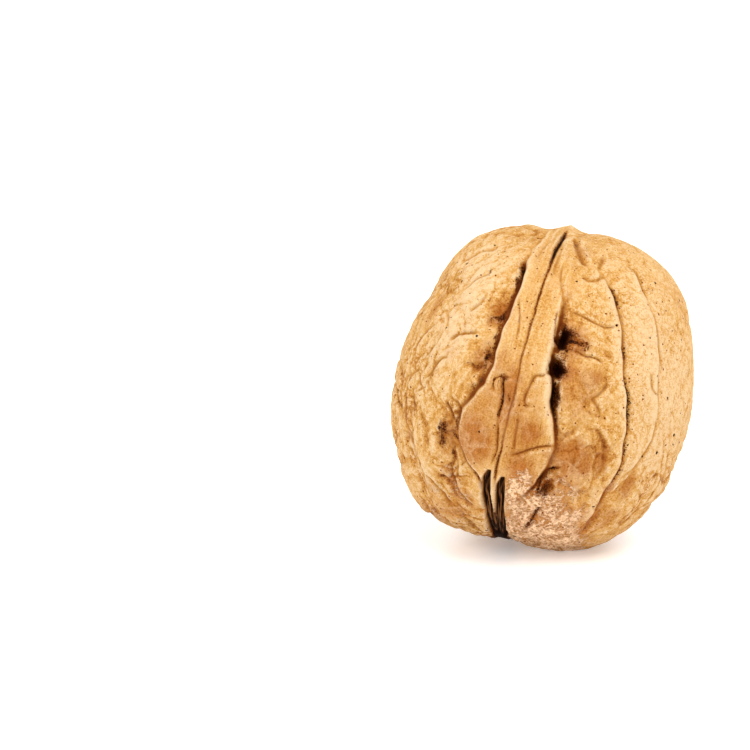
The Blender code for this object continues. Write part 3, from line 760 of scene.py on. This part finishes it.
shellLook = {
    "tones": (
        (0.0, "#3a1606"), (0.18, "#7a4114"), (0.34, "#a0682c"), (0.48, "#b98845"), (0.6, "#c39a60"),
        (0.72, "#c7a26e"), (0.86, "#ccab7c"), (1.0, "#d2b68c"),
    ),
    "meanTone": 0.7,
    "chalk": "#cfb594", "gold": "#b9813c", "straw": "#c09a5c", "rustAndShade": "#94521b",
    # line colours: painted shade in the cracks, slots, furrows and creases, with brown staining
    "lineBrown": "#6a2f08", "lineBlack": "#1a0600",
    # colours of the black marks and of the painted shade in the pits
    "markAndShadeBrown": "#612b06", "markAndShadeBlack": "#1e0700",
    "crustBed": "#ab6830", "crust": "#ecc8a3", "vein": "#dcc095",
    "strandGold": "#8c5c34", "strandBlack": "#180700",
    # size of the cells, widest dot, share of the cells that hold a dot, colour: sizes in millimetres
    "dots": ((1.4, 0.18, 0.45, "#2e0f02"), (0.6, 0.13, 0.6, "#6d3208")),
    # noises by the size of their patches in millimetres: 4, 1.2, 0.45 and 0.2. Scale, detail, roughness
    "noises": {
        "patches": (0.25, 3.0, 0.5), "blotches": (0.85, 4.0, 0.62), "speckle": (2.2, 4.0, 0.75),
        "grain": (5.0, 3.0, 0.7),
    },
    # what the tone is made of: from, to, and what these two add to the tone. Relief, bulge and cuts darken
    # the hollows and creases as painted shade and pale the crowns as painted highlight and wear; paler
    # lifts the tone where the brown staining runs negative, partly painted highlight
    "toneParts": {
        "relief": (-0.14, 0.14, -0.22, 0.09), "bulge": (-0.5, 0.5, -0.28, 0.12),
        "cuts": (0.0, 1.0, 0.0, -0.16), "paler": (-1.0, 0.0, 0.3, 0.0),
        "patches": (0.3, 0.7, -0.08, 0.08), "blotches": (0.3, 0.7, -0.12, 0.11),
        "speckle": (0.3, 0.7, -0.09, 0.09), "grain": (0.3, 0.7, -0.12, 0.12),
    },
    # layers of colour over the tone: source, where it begins and ends, the most of it
    "layers": {
        "gold": ("patches", 0.5, 0.7, 0.35), "straw": ("speckle", 0.45, 0.6, 0.2),
        # the brown layer here is staining and painted shade together
        "rustAndShade": ("rustAndShadeMix", 0.68, 1.6, 0.75), "chalk": ("dusty", 0.52, 0.6, 0.5),
    },
    "markAndShadeLayers": {"markAndShadeBrown": (2.55, 2.85, 0.85), "markAndShadeBlack": (2.95, 3.35, 1.0)},
    # how ragged each kind of line is at its left and its right
    "ragged": {
        "creaseLine": (1.5, 0.6), "furrowLine": (0.6, 2.2), "crackLine": (1.2, 0.8), "slotLine": (2.2, 0.5),
    },
    # the grain multiplies the colour by something between these two
    "grainDark": (0.6, 0.46, 0.32, 1.0), "grainPale": (1.32, 1.38, 1.42, 1.0),
    "bump": 0.00014, "specular": 0.03,
}


def mixedWithLine(tree, name, leftRagged, rightRagged, ragged, colour):
    # an attribute of (distance from the line, darkness, half width): thin and brown where weak, black
    # where strong. The line is painted shade in the cracks, slots, furrows and creases, with brown staining
    # along them. The line is crisp on its raised side and ragged on the other
    source = addNode(tree, "Attribute", {"attribute_name": name}, {})
    offset, dark, width = addNode(tree, "SeparateXYZ", {}, {0: source.outputs["Vector"]}).outputs
    gap = addNode(tree, "Math", {"operation": "ABSOLUTE"}, {0: offset}).outputs[0]
    amount = addNode(tree, "MapRange", {1: -0.1, 2: 0.1, 3: leftRagged, 4: rightRagged}, {0: offset})
    ragged = addNode(tree, "Math", {"operation": "MULTIPLY"}, {0: ragged, 1: amount.outputs[0]}).outputs[0]
    gap = addNode(tree, "Math", {"operation": "ADD"}, {0: gap, 1: ragged}).outputs[0]
    gap = addNode(tree, "Math", {"operation": "DIVIDE"}, {0: gap, 1: width}).outputs[0]
    share = addNode(tree, "MapRange", {1: 1.7, 2: 0.4, "interpolation_type": "SMOOTHSTEP"}, {0: gap})
    share = share.outputs[0]
    strength = addNode(tree, "MapRange", {2: 0.5}, {0: dark}).outputs[0]
    share = addNode(tree, "Math", {"operation": "MULTIPLY"}, {0: share, 1: strength}).outputs[0]
    blackness = addNode(tree, "MapRange", {1: 0.4, 2: 0.9}, {0: dark}).outputs[0]
    heart = addNode(tree, "MapRange", {1: 0.3, 2: 0.85}, {0: share}).outputs[0]
    blackness = addNode(tree, "Math", {"operation": "MULTIPLY"}, {0: blackness, 1: heart}).outputs[0]
    brown, black = hexColour(shellLook["lineBrown"]), hexColour(shellLook["lineBlack"])
    grooveShade = addNode(tree, "Mix", {"data_type": "RGBA", 6: brown, 7: black}, {0: blackness}).outputs[2]
    return addNode(tree, "Mix", {"data_type": "RGBA"}, {0: share, 6: colour, 7: grooveShade}).outputs[2]


def walnutShellMaterial():
    # Walnut shell: lignified wood, dried and tumbled. Matte and chalky on the crowns, which are also
    # painted paler as painted highlight, and darker brown in the creases and hollows as painted shade
    material = bpy.data.materials.new("driedWalnutShell")
    material.use_nodes = True
    tree = material.node_tree
    surface = tree.nodes["Principled BSDF"]
    place = addNode(tree, "Attribute", {"attribute_name": "nutPlace"}, {}).outputs["Vector"]
    fields = {}
    for name in ("height", "stainAndShade", "seamPlace", "strand"):
        source = addNode(tree, "Attribute", {"attribute_name": name}, {})
        fields[name] = addNode(tree, "SeparateXYZ", {}, {0: source.outputs["Vector"]}).outputs
    relief, bulge, cuts = fields["height"]
    blackMarksAndShade, rustAndShade, crust = fields["stainAndShade"]
    fromCrack, along, onSeam = fields["seamPlace"]
    fromRope, alongRope, onRope = fields["strand"]

    noises = {}
    for name, (scale, detail, roughness) in shellLook["noises"].items():
        noises[name] = addNode(
            tree, "TexNoise", {"Scale": scale, "Detail": detail, "Roughness": roughness},
            {"Vector": place}).outputs["Fac"]

    # on the seam the flecks are drawn out along the fibres: streaks 0.15 mm wide, some millimetres long
    streaks = addNode(tree, "CombineXYZ", {}, {0: fromCrack, 2: along}).outputs[0]
    streaks = addNode(tree, "Mapping", {"Scale": (3.4, 1.0, 0.3)}, {"Vector": streaks}).outputs[0]
    streaks = addNode(tree, "TexNoise", {"Scale": 1.0, "Detail": 4.0, "Roughness": 0.62},
                      {"Vector": streaks}).outputs["Fac"]
    fibrous = addNode(tree, "Math", {"operation": "MULTIPLY", 1: 0.5}, {0: onSeam}).outputs[0]
    for name in ("blotches", "speckle"):
        noises[name] = addNode(tree, "Mix", {}, {0: fibrous, 2: noises[name], 3: streaks}).outputs[0]

    # one tone from the hollows, the noises and the stains: low is brown, high is pale. The hollows and
    # creases come out darker as painted shade and the crowns paler as painted highlight
    tone = None
    sources = {"relief": relief, "bulge": bulge, "cuts": cuts, "paler": rustAndShade, **noises}
    for name, (low, high, atLow, atHigh) in shellLook["toneParts"].items():
        part = addNode(tree, "MapRange", {1: low, 2: high, 3: atLow, 4: atHigh}, {0: sources[name]})
        links = {0: part.outputs[0]} if tone is None else {0: part.outputs[0], 1: tone}
        tone = addNode(tree, "Math", {"operation": "ADD", 1: shellLook["meanTone"]}, links).outputs[0]
    tones = addNode(tree, "ValToRGB", {}, {"Fac": tone})
    ends = tones.color_ramp.elements
    ends[0].color, ends[1].color = hexColour(shellLook["tones"][0][1]), hexColour(shellLook["tones"][-1][1])
    for position, code in shellLook["tones"][1:-1]:
        ends.new(position).color = hexColour(code)
    colour = tones.outputs["Color"]

    # golden plates where the skin is thin, straw flecks, brown staining with its painted shade, pale dust
    # on the crowns
    pepper = addNode(tree, "Mix", {0: 0.5}, {2: noises["speckle"], 3: noises["grain"]}).outputs[0]
    rustAndShadeMix = addNode(tree, "Math", {"operation": "MULTIPLY_ADD", 1: 1.2},
                    {0: noises["blotches"], 2: rustAndShade}).outputs[0]
    dusty = addNode(tree, "Math", {"operation": "MULTIPLY_ADD", 1: 1.2},
                    {0: relief, 2: pepper}).outputs[0]
    dusty = addNode(tree, "Math", {"operation": "MULTIPLY_ADD", 1: -0.2},
                    {0: rustAndShade, 2: dusty}).outputs[0]
    sources = {"rustAndShadeMix": rustAndShadeMix, "dusty": dusty, **noises}
    layers = []
    for code, (name, low, high, most) in shellLook["layers"].items():
        share = addNode(tree, "MapRange", {1: low, 2: high, 4: most}, {0: sources[name]}).outputs[0]
        layers.append((code, share))

    # faint pale veins between the plates, about 3 mm apart: skin that stayed where the plates meet
    drawn = addNode(tree, "TexNoise", {"Scale": 0.45, "Detail": 1.5}, {"Vector": place}).outputs["Color"]
    drawn = addNode(tree, "VectorMath", {"operation": "MULTIPLY_ADD", 1: (4.0, 4.0, 4.0)},
                    {0: drawn, 2: place}).outputs[0]
    veins = addNode(tree, "TexVoronoi", {"feature": "DISTANCE_TO_EDGE", "Scale": 0.3},
                    {"Vector": drawn}).outputs["Distance"]
    veins = addNode(tree, "MapRange", {1: 0.1, 2: 0.0}, {0: veins}).outputs[0]
    present = addNode(tree, "Math", {"operation": "MULTIPLY_ADD", 1: 0.15},
                      {0: rustAndShade, 2: noises["patches"]}).outputs[0]
    present = addNode(tree, "MapRange", {1: 0.42, 2: 0.7, 4: 0.25}, {0: present}).outputs[0]
    veins = addNode(tree, "Math", {"operation": "MULTIPLY"}, {0: veins, 1: present}).outputs[0]

    # the darkest fibres of the seam
    streaks = addNode(tree, "MapRange", {1: 0.58, 2: 0.72, 4: 0.45}, {0: streaks}).outputs[0]
    streaks = addNode(tree, "Math", {"operation": "MULTIPLY"}, {0: streaks, 1: onSeam}).outputs[0]

    # flaking skin near the stem end, in ragged islands about half a millimetre across
    crustBed = addNode(tree, "MapRange", {1: 0.2, 2: 0.9, 4: 0.55}, {0: crust}).outputs[0]
    flakes = addNode(tree, "TexNoise", {"Scale": 0.8, "Detail": 4.0, "Roughness": 0.6, "Distortion": 0.5},
                     {"Vector": place}).outputs["Fac"]
    fineFlakes = addNode(tree, "TexNoise", {"Scale": 3.2, "Detail": 4.0, "Roughness": 0.75},
                         {"Vector": place}).outputs["Fac"]
    flakes = addNode(tree, "Mix", {0: 0.6}, {2: flakes, 3: fineFlakes}).outputs[0]
    crusted = addNode(tree, "MapRange", {3: -0.24, 4: 0.0}, {0: crust}).outputs[0]
    crusted = addNode(tree, "Math", {"operation": "ADD"}, {0: crusted, 1: flakes}).outputs[0]
    crustShare = addNode(tree, "MapRange", {1: 0.435, 2: 0.525, 4: 0.85}, {0: crusted}).outputs[0]

    layers += [("vein", veins), ("rustAndShade", streaks), ("crustBed", crustBed), ("crust", crustShare)]
    for code, share in layers:
        colour = addNode(tree, "Mix", {"data_type": "RGBA", 7: hexColour(shellLook[code])},
                         {0: share, 6: colour}).outputs[2]

    # fine grain over all of it, stronger under the brown staining and its painted shade, and where it is
    # flaking
    grainStrength = addNode(tree, "Math", {"operation": "MULTIPLY_ADD", 1: 0.4},
                            {0: crust, 2: rustAndShade}).outputs[0]
    grainStrength = addNode(tree, "MapRange", {3: 0.3, 4: 0.9}, {0: grainStrength}).outputs[0]
    grainShade = addNode(tree, "MapRange", {1: 0.36, 2: 0.64}, {0: pepper}).outputs[0]
    grainShade = addNode(
        tree, "Mix", {"data_type": "RGBA", 6: shellLook["grainDark"], 7: shellLook["grainPale"]},
        {0: grainShade}).outputs[2]
    colour = addNode(tree, "Mix", {"data_type": "RGBA", "blend_type": "MULTIPLY"},
                     {0: grainStrength, 6: colour, 7: grainShade}).outputs[2]

    # pores and pepper, in loose flocks, each a little out of round
    shaken = addNode(tree, "TexNoise", {"Scale": 4.0, "Detail": 2.0}, {"Vector": place}).outputs["Color"]
    shaken = addNode(tree, "VectorMath", {"operation": "MULTIPLY_ADD", 1: (0.3, 0.3, 0.3)},
                     {0: shaken, 2: place}).outputs[0]
    for cell, radius, filled, code in shellLook["dots"]:
        cells = addNode(tree, "TexVoronoi", {"Scale": 1 / cell}, {"Vector": shaken})
        chosen = addNode(tree, "SeparateXYZ", {}, {0: cells.outputs["Color"]}).outputs[0]
        chosen = addNode(tree, "Math", {"operation": "MULTIPLY_ADD", 1: 0.8},
                         {0: noises["patches"], 2: chosen}).outputs[0]
        reach = addNode(tree, "MapRange", {1: 1.4 - filled, 2: 1.4, 4: radius / cell}, {0: chosen})
        dots = addNode(tree, "Math", {"operation": "LESS_THAN"},
                       {0: cells.outputs["Distance"], 1: reach.outputs[0]}).outputs[0]
        colour = addNode(tree, "Mix", {"data_type": "RGBA", 7: hexColour(code)},
                         {0: dots, 6: colour}).outputs[2]

    # black marks, and the painted shade in the hearts of the pits and the stem-end hollow, peppery at their
    # borders
    grains = addNode(tree, "Mix", {0: 0.7}, {2: noises["speckle"], 3: noises["grain"]}).outputs[0]
    markedAndShaded = addNode(tree, "Math", {"operation": "MULTIPLY_ADD", 1: 4.2},
                      {0: grains, 2: blackMarksAndShade}).outputs[0]
    for code, (low, high, most) in shellLook["markAndShadeLayers"].items():
        share = addNode(tree, "MapRange", {1: low, 2: high, 4: most}, {0: markedAndShaded}).outputs[0]
        colour = addNode(tree, "Mix", {"data_type": "RGBA", 7: hexColour(shellLook[code])},
                         {0: share, 6: colour}).outputs[2]

    ragged = addNode(tree, "MapRange", {1: 0.35, 2: 0.65, 3: 0.24, 4: -0.24}, {0: pepper}).outputs[0]
    # lines in the cracks, slots, furrows and creases: painted shade, with brown staining
    for name, (left, right) in shellLook["ragged"].items():
        colour = mixedWithLine(tree, name, left, right, ragged, colour)

    # strands: golden threads twisted round each dark rope. Below the lowest threads the ropes stay black:
    # painted shade in the hollow at the stem end
    threads = addNode(tree, "CombineXYZ", {}, {0: fromRope, 2: alongRope}).outputs[0]
    threads = addNode(tree, "Mapping", {"Scale": (6.0, 1.0, 0.3)}, {"Vector": threads}).outputs[0]
    threads = addNode(tree, "TexNoise", {"Scale": 1.0, "Detail": 2.0}, {"Vector": threads}).outputs["Fac"]
    threads = addNode(tree, "MapRange", {1: 0.49, 2: 0.64}, {0: threads}).outputs[0]
    middle = addNode(tree, "Math", {"operation": "ABSOLUTE"}, {0: fromRope}).outputs[0]
    middle = addNode(tree, "MapRange", {1: 0.5, 2: 0.34}, {0: middle}).outputs[0]
    threads = addNode(tree, "Math", {"operation": "MULTIPLY"}, {0: threads, 1: middle}).outputs[0]
    above = addNode(tree, "MapRange", {1: -23.5, 2: -21.5}, {0: alongRope}).outputs[0]
    threads = addNode(tree, "Math", {"operation": "MULTIPLY"}, {0: threads, 1: above}).outputs[0]
    black, gold = hexColour(shellLook["strandBlack"]), hexColour(shellLook["strandGold"])
    rope = addNode(tree, "Mix", {"data_type": "RGBA", 6: black, 7: gold}, {0: threads}).outputs[2]
    colour = addNode(tree, "Mix", {"data_type": "RGBA", 7: hexColour(shellLook["lineBrown"])},
                     {0: onRope, 6: colour}).outputs[2]
    roped = addNode(tree, "MapRange", {1: 0.4, 2: 0.8}, {0: onRope}).outputs[0]
    colour = addNode(tree, "Mix", {"data_type": "RGBA"}, {0: roped, 6: colour, 7: rope}).outputs[2]

    tree.links.new(colour, surface.inputs["Base Color"])

    rough = addNode(tree, "MapRange", {1: 0.3, 2: 0.7, 3: 0.5, 4: 0.7}, {0: noises["blotches"]}).outputs[0]
    tree.links.new(rough, surface.inputs["Roughness"])
    bumps = addNode(tree, "Math", {"operation": "MULTIPLY_ADD", 1: 2.2}, {0: pepper, 2: crustShare})
    bump = addNode(tree, "Bump", {"Strength": 0.9, "Distance": shellLook["bump"]},
                   {"Height": bumps.outputs[0]})
    tree.links.new(bump.outputs["Normal"], surface.inputs["Normal"])
    surface.inputs["Specular IOR Level"].default_value = shellLook["specular"]
    return material


studio = {
    "floor": "#f9f8f7", "floorGlow": 0.25,
    "horizon": 2.0, "walls": 0.6, "ceiling": 0.9,
    # far and wide, so the floor is lit evenly: place, size in metres, power in watts
    "lamps": {
        "mainLight": ((0.8, -0.6, 2.5), 2.6, 74.0),
        "leftLight": ((-2.1, -1.2, 1.6), 1.8, 38.0),
        "rightLight": ((2.4, -1.4, 0.9), 1.6, 10.0),
    },
}


def makeStage():
    floorMesh = bpy.data.meshes.new("paleFloor")
    floorMesh.from_pydata([(-9, -9, 0), (9, -9, 0), (9, 9, 0), (-9, 9, 0)], [], [(0, 1, 2, 3)])
    floor = bpy.data.objects.new("paleFloor", floorMesh)
    bpy.context.scene.collection.objects.link(floor)
    # white acrylic sheet, lit from below: even and pale, with a faint soft shadow
    material = bpy.data.materials.new("litAcrylicSheet")
    material.use_nodes = True
    surface = material.node_tree.nodes["Principled BSDF"]
    surface.inputs["Base Color"].default_value = hexColour(studio["floor"])
    surface.inputs["Roughness"].default_value = 0.3
    surface.inputs["Emission Color"].default_value = hexColour(studio["floor"])
    surface.inputs["Emission Strength"].default_value = studio["floorGlow"]
    floorMesh.materials.append(material)


def makeLights():
    world = bpy.data.worlds.new("studio")
    bpy.context.scene.world = world
    world.use_nodes = True
    tree = world.node_tree
    direction = addNode(tree, "TexCoord", {}, {}).outputs["Generated"]
    height = addNode(tree, "SeparateXYZ", {}, {0: direction}).outputs[2]
    glow = addNode(tree, "ValToRGB", {}, {"Fac": height})
    ends = glow.color_ramp.elements
    ends[0].position, ends[0].color = 0.15, (studio["horizon"],) * 3 + (1,)
    ends[1].position, ends[1].color = 0.9, (studio["ceiling"],) * 3 + (1,)
    ends.new(0.35).color = (studio["walls"],) * 3 + (1,)
    ends.new(0.65).color = (studio["walls"],) * 3 + (1,)
    tree.links.new(glow.outputs["Color"], tree.nodes["Background"].inputs["Color"])
    for name, (place, size, power) in studio["lamps"].items():
        light = bpy.data.lights.new(name, "AREA")
        light.shape = "DISK"
        light.size = size
        light.energy = power
        lamp = bpy.data.objects.new(name, light)
        lamp.location = place
        lamp.rotation_euler = (Vector((0, 0, 0.02)) - Vector(place)).to_track_quat("-Z", "Y").to_euler()
        bpy.context.scene.collection.objects.link(lamp)


view = {
    "elevation": 12.0, "distance": 0.332, "lens": 130.0,
    "aimTurn": 3.59, "aimTilt": -11.79, "lookHeight": 0.0192,
}


def makeCamera():
    low, high = cadBox
    middle = Vector(((low.x + high.x) / 2, (low.y + high.y) / 2, view["lookHeight"]))
    lift = math.radians(view["elevation"])
    camera = bpy.data.objects.new("camera", bpy.data.cameras.new("camera"))
    camera.data.lens = view["lens"]
    camera.data.sensor_width = 36.0
    camera.data.clip_start, camera.data.clip_end = 0.01, 40.0
    camera.location = middle + view["distance"] * Vector((0, -math.cos(lift), math.sin(lift)))
    camera.rotation_euler = (math.pi / 2 + math.radians(view["aimTilt"]), 0, math.radians(view["aimTurn"]))
    bpy.context.scene.collection.objects.link(camera)
    bpy.context.scene.camera = camera


makeCamera()
makeStage()
makeLights()
shell = makeShell()
shell.data.materials.append(walnutShellMaterial())
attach(shell, "root")
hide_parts("walnut_shell")

bpy.context.scene.view_settings.view_transform = "Standard"
bpy.context.scene.view_settings.look = "None"
